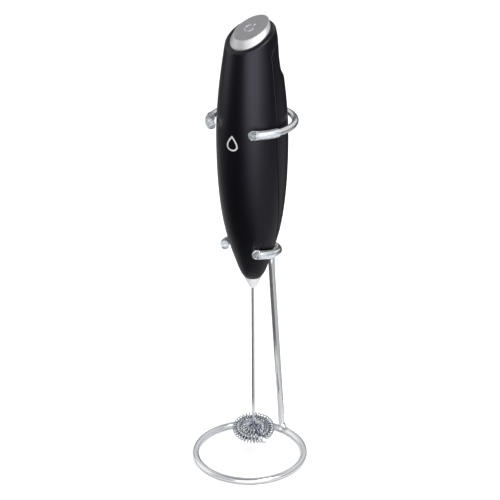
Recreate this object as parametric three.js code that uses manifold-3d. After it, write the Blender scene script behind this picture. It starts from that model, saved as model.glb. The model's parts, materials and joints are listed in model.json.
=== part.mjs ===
// A battery milk frother standing in its wire stand.
// Millimetres, +Z up. The origin is the centre of the base ring on the table, and the front faces -Y.
import * as THREE from "three";
import { mergeVertices } from "three/addons/utils/BufferGeometryUtils.js";
import Module from "manifold-3d";

const wasm = await Module();
wasm.setup();

// ---------------------------------------------------------------- driving dimensions

const GAP = 0.3; // between neighbouring pieces
const WIRE_SIDES = 12;

// Stand: one bent wire for the base ring and the upright, and two clips welded to it.
const STAND_WIRE_R = 1.75;
const BASE_RING_R = 28.25;
const FOOT_BEND_R = 5;
const FOOT_BEND_TURN = 10; // degrees past the back of the ring where the foot bend starts
const RING_STEPS = 42;
// The upright above its foot, as [distance behind the ring's centre, height].
const UPRIGHT_ROUTE = [
  [24.2, 52], [19.85, 97], [19.45, 108], [19.45, 119], [20.4, 131],
  [21.7, 143], [22.9, 156], [23.7, 170], [23.96, 184.1],
];
const UPPER_CLIP = { radius: 20.6, height: 186.4, behindAxis: 0.16, tilt: 0, tipAngle: 36.4, sleeveArc: 36 };
const LOWER_CLIP = {
  radius: 13.5, height: 119.5, behindAxis: -0.8, tilt: 10.4, tipAngle: 45.5, sleeveArc: 41,
};
// A clip's wire ends wireInset degrees inside its sleeve's tip.
const SLEEVE = { outer: 2.15, inner: 1.9, sides: 8, wireInset: 6 };

// Handle: a body of revolution round the frother's axis, which stands behind the ring's centre. The frother
// rests turned a little in its clips, and its own front is where its button slopes down.
const AXIS_Y = 3.2;
const FROTHER_TURN = -10; // degrees round +Z
const HANDLE_SEGMENTS = 32;
const NOSE_BOTTOM = 103.3;
const NOSE_FLAT_R = 4.1;
// Radius of the handle against height, as [height, radius].
const HANDLE_PROFILE = [
  [103.9, 4.75], [105, 5.6], [108, 6.95], [114, 9.05], [121, 11.3], [130, 13.65], [142, 15.65],
  [156, 16.9], [172, 17.45], [186, 17.3], [198, 16.45], [210, 15.1], [220, 13.65], [229, 12.15], [239, 10.1],
];
const HANDLE_ROWS = [
  103.9, 105, 108, 114, 121, 128, 136, 146, 158, 172, 186, 198, 207.5, 210, 212, 214, 217, 220, 223,
  226, 229, 234, 239,
];
const WALL = 1.4;
const CAVITY = { bottom: 114.4, top: 220.5 };
const RIM = { slope: 28.3, centreY: -1.13, height: 230.1 };
const RECESS = { depth: 1.95, foot: 208, deep: 213.5, fade: 216, top: 230, sideStart: 100, sideFull: 160 };
// Half of the battery cover's seam, seen from the side, as [distance behind the axis, height].
const COVER_SEAM = [
  [16, 227.3], [11.5, 227.2], [6, 226.3], [2.7, 225], [0.4, 222.5], [-0.3, 219], [-0.45, 205], [-0.45, 190],
  [-0.3, 176], [1.4, 155], [2.9, 142], [4.5, 128], [7.6, 122.6], [11.5, 120.8], [16, 120.6],
];
const COVER_DEPTH = 24;
const COVER_POINTS = 34;

// Button: an oval cap that slides straight down in a well under the rim.
const BUTTON_TRAVEL = 1.6;
const CAP_BASE = { halfWidth: 9.45, halfLength: 9.8, ...RIM };
const CAP_FACE = { halfWidth: 7.65, halfLength: 9.2, slope: 24.5, centreY: -0.45, height: 232.9 };
const WELL_MARGIN = 0.3;
const CAP_WALL = 1.2;
const CAP_SEGMENTS = 28;
const CAP_BOTTOM = 218.6;
const CAP_POST_R = 2.4;
const CAP_STOP = { reach: 0.9, front: -3.5, back: 0.5, thick: 1.5 };
const PLUNGER = { top: 223.2, flangeR: 6.6, flangeThick: 1.2, stemR: 1.8 };
const BUTTON_SPRING = { radius: 3.9, wire: 0.3, endRoom: 0.65 };

// Battery bay.
const CELL = { radius: 7, length: 50, nubRadius: 2.7, nubLength: 1.2, spacing: 14.2, bottom: 154.3 };
const CELL_TOP = CELL.bottom + CELL.length;
const TRAY = { bottom: 149.4, top: 209.6, thick: 1.2, frontY: -8.6, halfWidth: 9.4, wallR: 12.4 };
const SCREW = { headR: 1.9, headThick: 1.2, shankR: 0.95, length: 6.5, holeR: 1.25, heights: [165, 194] };
const SCREW_BOSS = { radius: 2.6, frontY: -16, holeEndY: -14.6 };
const CONTACT_THICK = 0.4;
const CONTACT_WIDTH = 7;
const CELL_SPRING = { radius: 3.6, wire: 0.3 };
// Switch: two rivets through the tray's top, which the disc under the plunger bridges.
const RIVET = { offsetX: 1.6, shankR: 0.6, headR: 1, headThick: 0.4, holeR: 0.85 };
const RIVET_TOP = TRAY.top + GAP + RIVET.headThick;
const CONTACT_DISC = { radius: 2.9, thick: 0.4, bottom: RIVET_TOP + BUTTON_TRAVEL + GAP };
const SWITCH_STRIP = { inner: 4, outer: 6.4 };

// Motor, shaft and whisk.
const MOTOR = { radius: 9.9, flatHalf: 7.6, wall: 0.8, floor: 1, bottom: 122.8, top: 142.8, capTop: 147.3 };
const MOTOR_BOSS = { radius: 3, height: 0.9 };
const MOTOR_SHAFT = { radius: 1, bottom: 118.4, top: 146.4 };
const MAGNET = { inner: 7, outer: 8.8, bottom: 125, top: 139.5, halfSpan: 6.3 };
const ARMATURE = {
  hubR: 2.6, shoeInner: 5.2, shoeOuter: 6.5, bottom: 126, top: 138, toothHalf: 1, shoeHalf: 4.6,
};
const COMMUTATOR = { radius: 2.5, bottom: 139.4, top: 142.4 };
const TERMINAL = { offsetX: 6, halfThick: 0.2, halfWidth: 1, footHeight: 2.4 };
const WHISK_WIRE_R = 0.8;
const WHISK_WIRE_TOP = 118;
const COUPLER = { radius: 2.4, bottom: 115.2, top: 121.5 };
const NOSE_COLLAR = { bottom: 97.2, topR: 4.1, bottomR: 1.95, spigotR: 2.3, spigotTop: 109.6 };
const BUSH = { radius: 2.7, bottom: 110.3, top: 113.8 };
const WHISK = { height: 14.7, tilt: 11, tiltAzimuth: 36, outerR: 8.8, innerR: 3.9, hollow: 1.2 };
const OUTER_COIL = { radius: 2.2, from: 94, to: 415 };
const INNER_COIL = { radius: 2.35, from: 128, to: 400 };

// ---------------------------------------------------------------- finishes

const finishes = {
  softBlack: { color: 0x1b1b1e, roughness: 0.55, metalness: 0 },
  innerBlack: { color: 0x2a2a2c, roughness: 0.7, metalness: 0 },
  chrome: { color: 0xd7d9dc, roughness: 0.14, metalness: 1 },
  steel: { color: 0xb9bcc0, roughness: 0.3, metalness: 1 },
  silver: { color: 0xc4c6ca, roughness: 0.35, metalness: 0.9 },
  clearVinyl: { color: 0xdfe3e6, roughness: 0.25, metalness: 0, transparent: true, opacity: 0.55 },
  brass: { color: 0xc79a4a, roughness: 0.35, metalness: 1 },
  copper: { color: 0xb5673a, roughness: 0.4, metalness: 1 },
  white: { color: 0xe8e6df, roughness: 0.6, metalness: 0 },
  magnet: { color: 0x3c3a39, roughness: 0.75, metalness: 0.1 },
  cellWrap: { color: 0x35506b, roughness: 0.4, metalness: 0.2 },
};

// ---------------------------------------------------------------- helpers

const radians = THREE.MathUtils.degToRad;
const at = (x, y, z) => new THREE.Vector3(x, y, z);

function piece(name, geometry, finish) {
  const mesh = new THREE.Mesh(geometry, new THREE.MeshStandardMaterial(finishes[finish]));
  mesh.name = name;
  return mesh;
}

// A closed geometry as a solid that can be joined and cut.
function solid(geometry) {
  const bare = new THREE.BufferGeometry();
  const loose = geometry.index ? geometry.toNonIndexed() : geometry;
  bare.setAttribute("position", loose.getAttribute("position"));
  const merged = mergeVertices(bare, 1e-4);
  const corners = merged.index.array;
  const kept = [];
  for (let i = 0; i < corners.length; i += 3) {
    const [a, b, c] = corners.subarray(i, i + 3);
    if (a !== b && b !== c && c !== a) kept.push(a, b, c);
  }
  const vertProperties = merged.attributes.position.array;
  const triVerts = new Uint32Array(kept);
  return new wasm.Manifold(new wasm.Mesh({ numProp: 3, vertProperties, triVerts }));
}

function geometryOf(made) {
  const { vertProperties, triVerts } = made.getMesh();
  const geometry = new THREE.BufferGeometry();
  geometry.setAttribute("position", new THREE.BufferAttribute(vertProperties, 3));
  geometry.setIndex(new THREE.BufferAttribute(triVerts, 1));
  const flat = geometry.toNonIndexed();
  flat.computeVertexNormals();
  return flat;
}

// A body of revolution round Z from a closed outline of [radius, height] corners, given either way round.
function turned(outline, segments = 20) {
  const corners = outline.map(([r, z]) => new THREE.Vector2(r, z));
  const ordered = THREE.ShapeUtils.area(corners) > 0 ? corners : corners.reverse();
  const touchesAxis = ordered.some((corner) => corner.x === 0);
  const profile = touchesAxis ? fromAxis(ordered) : [...ordered, ordered[0].clone()];
  return new THREE.LatheGeometry(profile, segments).rotateX(Math.PI / 2);
}

// Rolls an outline round so that its edge on the axis is the one left open.
function fromAxis(corners) {
  const count = corners.length;
  const start = corners.findIndex((corner, i) => corner.x === 0 && corners[(i + 1) % count].x !== 0);
  return corners.map((_, i) => corners[(start + i) % count]);
}

const rod = (radius, bottom, top, segments) =>
  turned([[0, bottom], [radius, bottom], [radius, top], [0, top]], segments);

function box([x0, y0, z0], [x1, y1, z1]) {
  const geometry = new THREE.BoxGeometry(x1 - x0, y1 - y0, z1 - z0);
  return geometry.translate((x0 + x1) / 2, (y0 + y1) / 2, (z0 + z1) / 2);
}

// An outline in the Y-Z plane, pushed out to both sides along X.
function sidePrism(points, halfWidth) {
  const shape = new THREE.Shape(points);
  const geometry = new THREE.ExtrudeGeometry(shape, { depth: 2 * halfWidth, bevelEnabled: false });
  geometry.translate(0, 0, -halfWidth);
  return geometry.applyMatrix4(new THREE.Matrix4().makeBasis(at(0, 1, 0), at(0, 0, 1), at(1, 0, 0)));
}

// An outline in the X-Z plane, pushed out along Y.
function frontPrism(points, y0, y1) {
  const shape = new THREE.Shape(points.map(([x, z]) => new THREE.Vector2(x, z)));
  const geometry = new THREE.ExtrudeGeometry(shape, { depth: y1 - y0, bevelEnabled: false });
  return geometry.rotateX(Math.PI / 2).translate(0, y1, 0);
}

function regularOutline(radius, sides) {
  const corner = (i) => ((i + 0.5) * 2 * Math.PI) / sides;
  const points = Array.from({ length: sides }, (_, i) => [corner(i), radius / Math.cos(Math.PI / sides)]);
  return points.map(([angle, r]) => new THREE.Vector2(r * Math.cos(angle), r * Math.sin(angle)));
}

// A smooth curve with one step between each of its points, so that bends can take more steps.
class Route extends THREE.CatmullRomCurve3 {
  getUtoTmapping(u) {
    return u;
  }
}

// A wire or a hollow tube along a list of points, with flat sides a radius from its centre.
function wire(points, radius, sides = WIRE_SIDES, hollow = 0) {
  const shape = new THREE.Shape(regularOutline(radius, sides));
  if (hollow) shape.holes.push(new THREE.Path(regularOutline(hollow, sides)));
  const extrudePath = new Route(points);
  return new THREE.ExtrudeGeometry(shape, { steps: points.length - 1, extrudePath, curveSegments: 1 });
}

// Points on a level circle. Angles are in degrees from the front, rising towards +X.
function arcPoints(radius, from, to, steps) {
  return Array.from({ length: steps + 1 }, (_, i) => {
    const angle = radians(from + ((to - from) * i) / steps);
    return at(radius * Math.sin(angle), -radius * Math.cos(angle), 0);
  });
}

function springPoints(radius, bottom, top, turns, stepsPerTurn) {
  const steps = turns * stepsPerTurn;
  return Array.from({ length: steps + 1 }, (_, i) => {
    const angle = (i * 2 * Math.PI) / stepsPerTurn;
    const z = bottom + ((top - bottom) * i) / steps;
    return at(radius * Math.cos(angle), radius * Math.sin(angle), z);
  });
}

// Smooth value at x through [x, value] knots, with the slope at a knot taken from its neighbours.
function smooth(knots, x) {
  const last = knots.length - 2;
  const above = knots.findIndex((knot) => knot[0] > x);
  const i = above < 0 ? last : Math.max(0, above - 1);
  const slope = (k) => {
    const [x0, y0] = knots[Math.max(0, k - 1)];
    const [x1, y1] = knots[Math.min(last + 1, k + 1)];
    return (y1 - y0) / (x1 - x0);
  };
  const [xa, ya] = knots[i];
  const [xb, yb] = knots[i + 1];
  const h = xb - xa;
  const t = (x - xa) / h;
  const ends = ya * (1 + 2 * t) * (1 - t) ** 2 + yb * t * t * (3 - 2 * t);
  return ends + h * (slope(i) * t * (1 - t) ** 2 - slope(i + 1) * t * t * (1 - t));
}

// ---------------------------------------------------------------- stand

function standRod() {
  const ring = arcPoints(BASE_RING_R, -178, 180 - FOOT_BEND_TURN, RING_STEPS);
  ring.forEach((point) => point.setZ(STAND_WIRE_R));
  const turn = radians(FOOT_BEND_TURN);
  const along = at(-Math.cos(turn), Math.sin(turn), 0);
  const bendStart = ring.at(-1);
  const bend = [20, 40, 60, 80].map((degrees) => {
    const angle = radians(degrees);
    const point = bendStart.clone().addScaledVector(along, FOOT_BEND_R * Math.sin(angle));
    return point.setZ(STAND_WIRE_R + FOOT_BEND_R * (1 - Math.cos(angle)));
  });
  const upright = UPRIGHT_ROUTE.map(([y, z]) => at(0, y, z));
  return wire([...ring, ...bend, ...upright], STAND_WIRE_R);
}

// The clip's round wire, from one tip to the other by way of the back.
function clipWire({ radius, tipAngle }) {
  const end = tipAngle + SLEEVE.wireInset;
  return wire(arcPoints(radius, end, 360 - end, 22), STAND_WIRE_R * Math.cos(Math.PI / WIRE_SIDES));
}

// A soft sleeve on the clip's right tip, with a round closed end.
function tipSleeve({ radius, tipAngle, sleeveArc }, side) {
  const open = tipAngle + sleeveArc;
  const skin = solid(wire(arcPoints(radius, tipAngle, open, 4), SLEEVE.outer, SLEEVE.sides));
  const tip = arcPoints(radius, tipAngle, open, 1)[0];
  const end = solid(new THREE.SphereGeometry(SLEEVE.outer, 8, 6).translate(...tip));
  const bore = arcPoints(radius, tipAngle + SLEEVE.wireInset - 1.5, open + 2, 4);
  const sleeve = skin.add(end).subtract(solid(wire(bore, SLEEVE.inner, SLEEVE.sides)));
  return geometryOf(side > 0 ? sleeve : sleeve.mirror([1, 0, 0]));
}

function clip(name, size) {
  const group = new THREE.Group();
  group.position.set(0, AXIS_Y + size.behindAxis, size.height);
  group.rotation.x = -radians(size.tilt);
  group.add(piece(`${name}_clip`, clipWire(size), "chrome"));
  group.add(piece(`${name}_sleeve_right`, tipSleeve(size, 1), "clearVinyl"));
  group.add(piece(`${name}_sleeve_left`, tipSleeve(size, -1), "clearVinyl"));
  return group;
}

function stand() {
  const group = new THREE.Group();
  group.add(piece("stand_rod", standRod(), "chrome"));
  group.add(clip("upper", UPPER_CLIP), clip("lower", LOWER_CLIP));
  return group;
}

// ---------------------------------------------------------------- handle shells

// Depth of the thumb recess on the back of the handle, at a height and an angle from the front.
function recessDepth(z, angle) {
  const { smoothstep } = THREE.MathUtils;
  const rise = smoothstep(z, RECESS.foot, RECESS.deep);
  const fall = 1 - smoothstep(z, RECESS.fade, RECESS.top);
  return RECESS.depth * rise * fall * smoothstep(angle, RECESS.sideStart, RECESS.sideFull);
}

// The handle's outer form, drawn in by an inset.
function handleForm(inset) {
  const outline = HANDLE_ROWS.map((z) => [smooth(HANDLE_PROFILE, z) - inset, z]);
  const bottom = NOSE_BOTTOM + inset;
  const rows = outline.filter(([, z]) => z > bottom + 0.1);
  const top = HANDLE_ROWS.at(-1);
  const form = turned([[0, bottom], [NOSE_FLAT_R, bottom], ...rows, [0, top]], HANDLE_SEGMENTS);
  const position = form.getAttribute("position");
  for (let i = 0; i < position.count; i += 1) {
    const [x, y, z] = [position.getX(i), position.getY(i), position.getZ(i)];
    const radius = Math.hypot(x, y);
    if (radius < NOSE_FLAT_R || z > top - 0.1) continue;
    const angle = THREE.MathUtils.radToDeg(Math.atan2(Math.abs(x), -y));
    const scale = (radius - recessDepth(z, angle)) / radius;
    position.setXY(i, x * scale, y * scale);
  }
  return solid(form);
}

// The side outline of the battery cover, moved outward by a margin.
function coverOutline(margin) {
  const seam = new THREE.SplineCurve(COVER_SEAM.map(([y, z]) => new THREE.Vector2(y, z)));
  const points = Array.from({ length: COVER_POINTS + 1 }, (_, i) => {
    const tangent = seam.getTangentAt(i / COVER_POINTS);
    const outward = new THREE.Vector2(tangent.y, -tangent.x);
    return seam.getPointAt(i / COVER_POINTS).addScaledVector(outward, margin);
  });
  const [first, last] = [points[0], points.at(-1)];
  return [...points, new THREE.Vector2(COVER_DEPTH, last.y), new THREE.Vector2(COVER_DEPTH, first.y)];
}

const coverPrism = (margin) => solid(sidePrism(coverOutline(margin), COVER_DEPTH));

// Everything above a plane that slopes up towards the back.
function aboveSlope({ slope, centreY, height }) {
  const block = new THREE.BoxGeometry(80, 80, 40).translate(0, 0, 20).rotateX(radians(slope));
  return solid(block.translate(0, centreY, height));
}

function ovalRod({ halfWidth, halfLength, centreY }, margin, bottom, top) {
  const oval = rod(1, 0, 1, CAP_SEGMENTS);
  oval.scale(halfWidth + margin, halfLength + margin, top - bottom);
  return solid(oval.translate(0, centreY, bottom));
}

function cylinderAlongY(radius, y0, y1, z, segments = 14) {
  const cylinder = new THREE.CylinderGeometry(radius, radius, y1 - y0, segments);
  return solid(cylinder.translate(0, (y0 + y1) / 2, z));
}

function housingCavity() {
  const slab = box([-30, -30, CAVITY.bottom], [30, 30, CAVITY.top]);
  return handleForm(WALL).intersect(solid(slab));
}

function frontHousing(outerForm) {
  const seat = TRAY.frontY - GAP;
  let shell = outerForm.subtract(aboveSlope(RIM)).subtract(housingCavity());
  for (const height of SCREW.heights) {
    const boss = cylinderAlongY(SCREW_BOSS.radius, SCREW_BOSS.frontY, seat, height);
    shell = shell.add(boss.subtract(cylinderAlongY(SCREW.holeR, SCREW_BOSS.holeEndY, 0, height)));
  }
  const pocket = coverPrism(GAP).subtract(handleForm(WALL + GAP));
  const nose = turned(
    [[0, 100], [NOSE_COLLAR.spigotR + GAP, 100], [NOSE_COLLAR.spigotR + GAP, BUSH.bottom - GAP],
      [BUSH.radius + GAP, BUSH.bottom - GAP], [BUSH.radius + GAP, 116], [0, 116]],
  );
  const well = ovalRod(CAP_BASE, WELL_MARGIN, CAVITY.top - 1, HANDLE_ROWS.at(-1) + 1);
  return geometryOf(shell.subtract(pocket).subtract(solid(nose)).subtract(well));
}

function batteryCover(outerForm) {
  return geometryOf(outerForm.subtract(handleForm(WALL)).intersect(coverPrism(0)));
}

// ---------------------------------------------------------------- button

const slopeHeight = ({ slope, centreY, height }, y) => height + (y - centreY) * Math.tan(radians(slope));

// The cap's form between its bottom, the oval in the rim's plane and the oval of its face.
function capForm(inset, bottom) {
  const levels = [[0, 0], [1, 0], [1, 1], [1, 2], [0, 3]];
  const form = turned(levels, CAP_SEGMENTS);
  const position = form.getAttribute("position");
  for (let i = 0; i < position.count; i += 1) {
    const [x, y, level] = [position.getX(i), position.getY(i), Math.round(position.getZ(i))];
    const oval = level < 2 ? CAP_BASE : CAP_FACE;
    const lowered = level < 2 ? 0 : inset;
    const px = x * (oval.halfWidth - inset);
    const py = oval.centreY + y * (oval.halfLength - inset);
    position.setXYZ(i, px, py, level === 0 ? bottom : slopeHeight(oval, py) - lowered);
  }
  return solid(form);
}

function buttonCap() {
  const post = solid(rod(CAP_POST_R, PLUNGER.top + GAP, CAP_FACE.height - CAP_WALL / 2));
  const reach = CAP_BASE.halfWidth + CAP_STOP.reach;
  const stopTop = CAP_BOTTOM + CAP_STOP.thick;
  const stop = solid(box([-reach, CAP_STOP.front, CAP_BOTTOM], [reach, CAP_STOP.back, stopTop]));
  const room = ovalRod(CAP_BASE, -CAP_WALL, CAP_BOTTOM - 1, PLUNGER.top - PLUNGER.flangeThick);
  const hollow = capForm(CAP_WALL, CAP_BOTTOM - 2);
  return geometryOf(capForm(0, CAP_BOTTOM).add(stop).subtract(hollow).subtract(room).add(post));
}

function buttonPlunger() {
  const { top, flangeR, flangeThick, stemR } = PLUNGER;
  const bottom = CONTACT_DISC.bottom + CONTACT_DISC.thick + GAP;
  const under = top - flangeThick;
  const stem = [[0, bottom], [stemR, bottom], [stemR, under]];
  return turned([...stem, [flangeR, under], [flangeR, top], [0, top]], 18);
}

function button() {
  const group = new THREE.Group();
  group.add(piece("button_cap", buttonCap(), "silver"));
  group.add(piece("button_plunger", buttonPlunger(), "white"));
  const { radius, bottom, thick } = CONTACT_DISC;
  group.add(piece("contact_disc", rod(radius, bottom, bottom + thick, 16), "copper"));
  return group;
}

function buttonSpring() {
  const { radius, endRoom } = BUTTON_SPRING;
  const top = PLUNGER.top - PLUNGER.flangeThick - endRoom;
  return wire(springPoints(radius, TRAY.top + endRoom, top, 5, 9), BUTTON_SPRING.wire, 4);
}

// ---------------------------------------------------------------- battery bay

// A dry cell standing at the origin, its nub up.
function cell() {
  const { radius, length, nubRadius, nubLength } = CELL;
  const shoulder = length - nubLength;
  return turned(
    [[0, 0], [radius - 0.5, 0], [radius, 0.5], [radius, shoulder - 0.5], [radius - 0.5, shoulder],
      [nubRadius, shoulder], [nubRadius, length], [0, length]],
    24,
  );
}

function batteries() {
  const left = piece("battery_left", cell(), "cellWrap");
  left.position.set(-CELL.spacing / 2, 0, CELL.bottom);
  const right = piece("battery_right", cell(), "cellWrap");
  right.position.set(CELL.spacing / 2, 0, CELL_TOP);
  right.rotation.x = Math.PI;
  return [left, right];
}

function batteryTray() {
  const { bottom, top, thick, frontY, halfWidth, wallR } = TRAY;
  const front = solid(box([-halfWidth, frontY, bottom], [halfWidth, frontY + thick, top]));
  const behind = solid(box([-wallR, frontY, bottom], [wallR, wallR, top]));
  const lower = solid(rod(wallR, bottom, bottom + thick, 28)).intersect(behind);
  const upper = solid(rod(wallR, top - thick, top, 28)).intersect(behind);
  let tray = front.add(lower).add(upper);
  for (const height of SCREW.heights) {
    tray = tray.subtract(cylinderAlongY(SCREW.holeR, frontY - 1, 0, height));
  }
  for (const x of [-RIVET.offsetX, RIVET.offsetX]) {
    const rivetHole = rod(RIVET.holeR, top - 2 * thick, top + 1, 12).translate(x, 0, 0);
    tray = tray.subtract(solid(rivetHole));
  }
  return geometryOf(tray);
}

function trayScrew(height) {
  const seat = TRAY.frontY + TRAY.thick + GAP;
  const head = cylinderAlongY(SCREW.headR, seat, seat + SCREW.headThick, height);
  const shank = cylinderAlongY(SCREW.shankR, seat - SCREW.length, seat + 0.1, height, 10);
  return geometryOf(head.add(shank));
}

// A bent strip that reaches from the left cell's nub to the foot of the right cell's spring.
function seriesBridge() {
  const under = TRAY.top - TRAY.thick - GAP;
  const nubTop = CELL_TOP + GAP;
  const ledge = nubTop + CONTACT_THICK;
  const upperFace = [[10.6, under], [-2.2, under], [-4.4, ledge], [-10, ledge]];
  const underside = under - CONTACT_THICK;
  const lowerFace = [[-10, nubTop], [-4.2, nubTop], [-2, underside], [10.6, underside]];
  const outline = [...upperFace, ...lowerFace];
  return frontPrism(outline, -CONTACT_WIDTH / 2, CONTACT_WIDTH / 2);
}

// The right cell's positive contact, a strip arched up to meet the nub.
function positivePlate() {
  const floor = TRAY.bottom + TRAY.thick + GAP;
  const crest = CELL.bottom - GAP;
  const outline = [
    [2.6, floor], [4, floor], [6, crest - CONTACT_THICK], [8.2, crest - CONTACT_THICK], [10.2, floor],
    [11.2, floor], [11.2, floor + CONTACT_THICK], [10.5, floor + CONTACT_THICK], [8.5, crest], [5.7, crest],
    [3.7, floor + CONTACT_THICK], [2.6, floor + CONTACT_THICK],
  ];
  return frontPrism(outline, -CONTACT_WIDTH / 2, CONTACT_WIDTH / 2);
}

function cellSpring(name, x, bottom, top) {
  const { radius, wire: thick } = CELL_SPRING;
  const points = springPoints(radius, bottom + thick, top - thick, 2, 10);
  const spring = piece(name, wire(points, thick, 5), "steel");
  spring.position.set(x, 0, 0);
  return spring;
}

// One of the two rivets that the contact disc bridges when the button is down.
function switchContact() {
  const { shankR, headR } = RIVET;
  const foot = TRAY.top - TRAY.thick - 0.2;
  const seat = TRAY.top + GAP;
  const shank = [[0, foot], [shankR, foot], [shankR, seat]];
  return turned([...shank, [headR, seat], [headR, RIVET_TOP], [0, RIVET_TOP]], 12);
}

function switchParts() {
  return [-1, 1].flatMap((side) => {
    const word = side < 0 ? "left" : "right";
    const contact = piece(`switch_contact_${word}`, switchContact(), "brass");
    contact.position.x = RIVET.offsetX * side;
    const front = TRAY.frontY - GAP;
    const { inner, outer } = SWITCH_STRIP;
    const strip = box([inner, front - CONTACT_THICK, TRAY.bottom], [outer, front, TRAY.top - 1]);
    const run = piece(`switch_strip_${word}`, strip, "brass");
    run.position.x = side < 0 ? -inner - outer : 0;
    return [contact, run];
  });
}

function batteryBay() {
  const floor = TRAY.bottom + TRAY.thick + GAP;
  const underBridge = TRAY.top - TRAY.thick - 2 * GAP - CONTACT_THICK;
  const half = CELL.spacing / 2;
  return [
    piece("battery_tray", batteryTray(), "innerBlack"),
    ...batteries(),
    piece("tray_screw_lower", trayScrew(SCREW.heights[0]), "steel"),
    piece("tray_screw_upper", trayScrew(SCREW.heights[1]), "steel"),
    piece("series_bridge", seriesBridge(), "brass"),
    piece("positive_plate", positivePlate(), "brass"),
    cellSpring("negative_spring", -half, floor, CELL.bottom - GAP),
    cellSpring("bridge_spring", half, CELL_TOP + GAP, underBridge),
    ...switchParts(),
  ];
}

// ---------------------------------------------------------------- motor

function flatSided(radius, flatHalf, bottom, top) {
  const slab = solid(box([-20, -flatHalf, bottom - 1], [20, flatHalf, top + 1]));
  return solid(rod(radius, bottom, top, 28)).intersect(slab);
}

function motorCan() {
  const { radius, flatHalf, wall, floor, bottom, top } = MOTOR;
  const inside = flatSided(radius - wall, flatHalf - wall, bottom + floor, top + 1);
  const boss = solid(rod(MOTOR_BOSS.radius, bottom - MOTOR_BOSS.height, bottom + 0.1, 16));
  const bore = solid(rod(MOTOR_SHAFT.radius + 0.2, bottom - 2, bottom + 2, 12));
  return geometryOf(flatSided(radius, flatHalf, bottom, top).add(boss).subtract(inside).subtract(bore));
}

function motorEndCap() {
  const { radius, flatHalf, top, capTop } = MOTOR;
  const bore = solid(rod(MOTOR_SHAFT.radius + 0.2, top, capTop - 0.6, 12));
  let cap = flatSided(radius, flatHalf, top + GAP, capTop).subtract(bore);
  const halfSlot = [TERMINAL.halfThick + GAP, TERMINAL.halfWidth + GAP];
  for (const x of [-TERMINAL.offsetX, TERMINAL.offsetX]) {
    const slot = box([x - halfSlot[0], -halfSlot[1], top], [x + halfSlot[0], halfSlot[1], capTop + 1]);
    cap = cap.subtract(solid(slot));
  }
  return geometryOf(cap);
}

// A curved magnet against the inside of the can, centred on +X or -X.
function magnet(side) {
  const { inner, outer, bottom, top, halfSpan } = MAGNET;
  const ring = solid(turned([[inner, bottom], [outer, bottom], [outer, top], [inner, top]], 24));
  const near = [side < 0 ? -outer - 1 : 1, -halfSpan, bottom - 1];
  const far = [side < 0 ? -1 : outer + 1, halfSpan, top + 1];
  return geometryOf(ring.intersect(solid(box(near, far))));
}

// Three pole shoes on a hub.
function armature() {
  const { hubR, shoeInner, shoeOuter, bottom, top, toothHalf, shoeHalf } = ARMATURE;
  const shoes = turned([[shoeInner, bottom], [shoeOuter, bottom], [shoeOuter, top], [shoeInner, top]], 24);
  const shoeRing = solid(shoes);
  let core = solid(rod(hubR, bottom, top, 12));
  for (const turn of [90, 210, 330]) {
    const tooth = box([0, -toothHalf, bottom], [shoeInner + 0.4, toothHalf, top]).rotateZ(radians(turn));
    const wedge = box([hubR, -shoeHalf, bottom], [shoeOuter + 1, shoeHalf, top]).rotateZ(radians(turn));
    core = core.add(solid(tooth)).add(shoeRing.intersect(solid(wedge)));
  }
  return geometryOf(core.subtract(solid(rod(MOTOR_SHAFT.radius + 0.15, bottom - 1, top + 1, 12))));
}

function commutator() {
  const { radius, bottom, top } = COMMUTATOR;
  const bore = MOTOR_SHAFT.radius + 0.15;
  return turned([[bore, bottom], [radius, bottom], [radius, top], [bore, top]], 18);
}

function motorShell() {
  const { offsetX, halfThick, halfWidth, footHeight } = TERMINAL;
  const foot = MOTOR.top + footHeight;
  const tab = (x) => box([x - halfThick, -halfWidth, foot], [x + halfThick, halfWidth, TRAY.bottom - GAP]);
  return [
    piece("motor_can", motorCan(), "steel"),
    piece("motor_end_cap", motorEndCap(), "white"),
    piece("magnet_left", magnet(-1), "magnet"),
    piece("magnet_right", magnet(1), "magnet"),
    piece("motor_terminal_left", tab(-offsetX), "brass"),
    piece("motor_terminal_right", tab(offsetX), "brass"),
  ];
}

// ---------------------------------------------------------------- nose, shaft and whisk

function noseCollar() {
  const { bottom, topR, bottomR, spigotR, spigotTop } = NOSE_COLLAR;
  const bore = WHISK_WIRE_R + 0.35;
  const seat = NOSE_BOTTOM - GAP;
  return turned(
    [[bore, bottom], [bottomR, bottom], [topR, seat - 0.5], [topR, seat],
      [spigotR, seat], [spigotR, spigotTop], [bore, spigotTop]],
    22,
  );
}

function noseBush() {
  const bore = WHISK_WIRE_R + 0.15;
  const { radius, bottom, top } = BUSH;
  return turned([[bore, bottom], [radius, bottom], [radius, top], [bore, top]], 16);
}

function shaftCoupler() {
  const split = (WHISK_WIRE_TOP + MOTOR_SHAFT.bottom) / 2;
  const lower = WHISK_WIRE_R + 0.15;
  const upper = MOTOR_SHAFT.radius + 0.2;
  const { radius, bottom, top } = COUPLER;
  return turned(
    [[lower, bottom], [radius, bottom], [radius, top], [upper, top], [upper, split], [lower, split]],
    16,
  );
}

// Moves points of the level whisk into its slightly tipped plane.
function tipped(points) {
  const azimuth = radians(WHISK.tiltAzimuth);
  const hinge = at(Math.cos(azimuth), Math.sin(azimuth), 0);
  return points.map((point) => point.applyAxisAngle(hinge, radians(WHISK.tilt)).add(at(0, 0, WHISK.height)));
}

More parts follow.
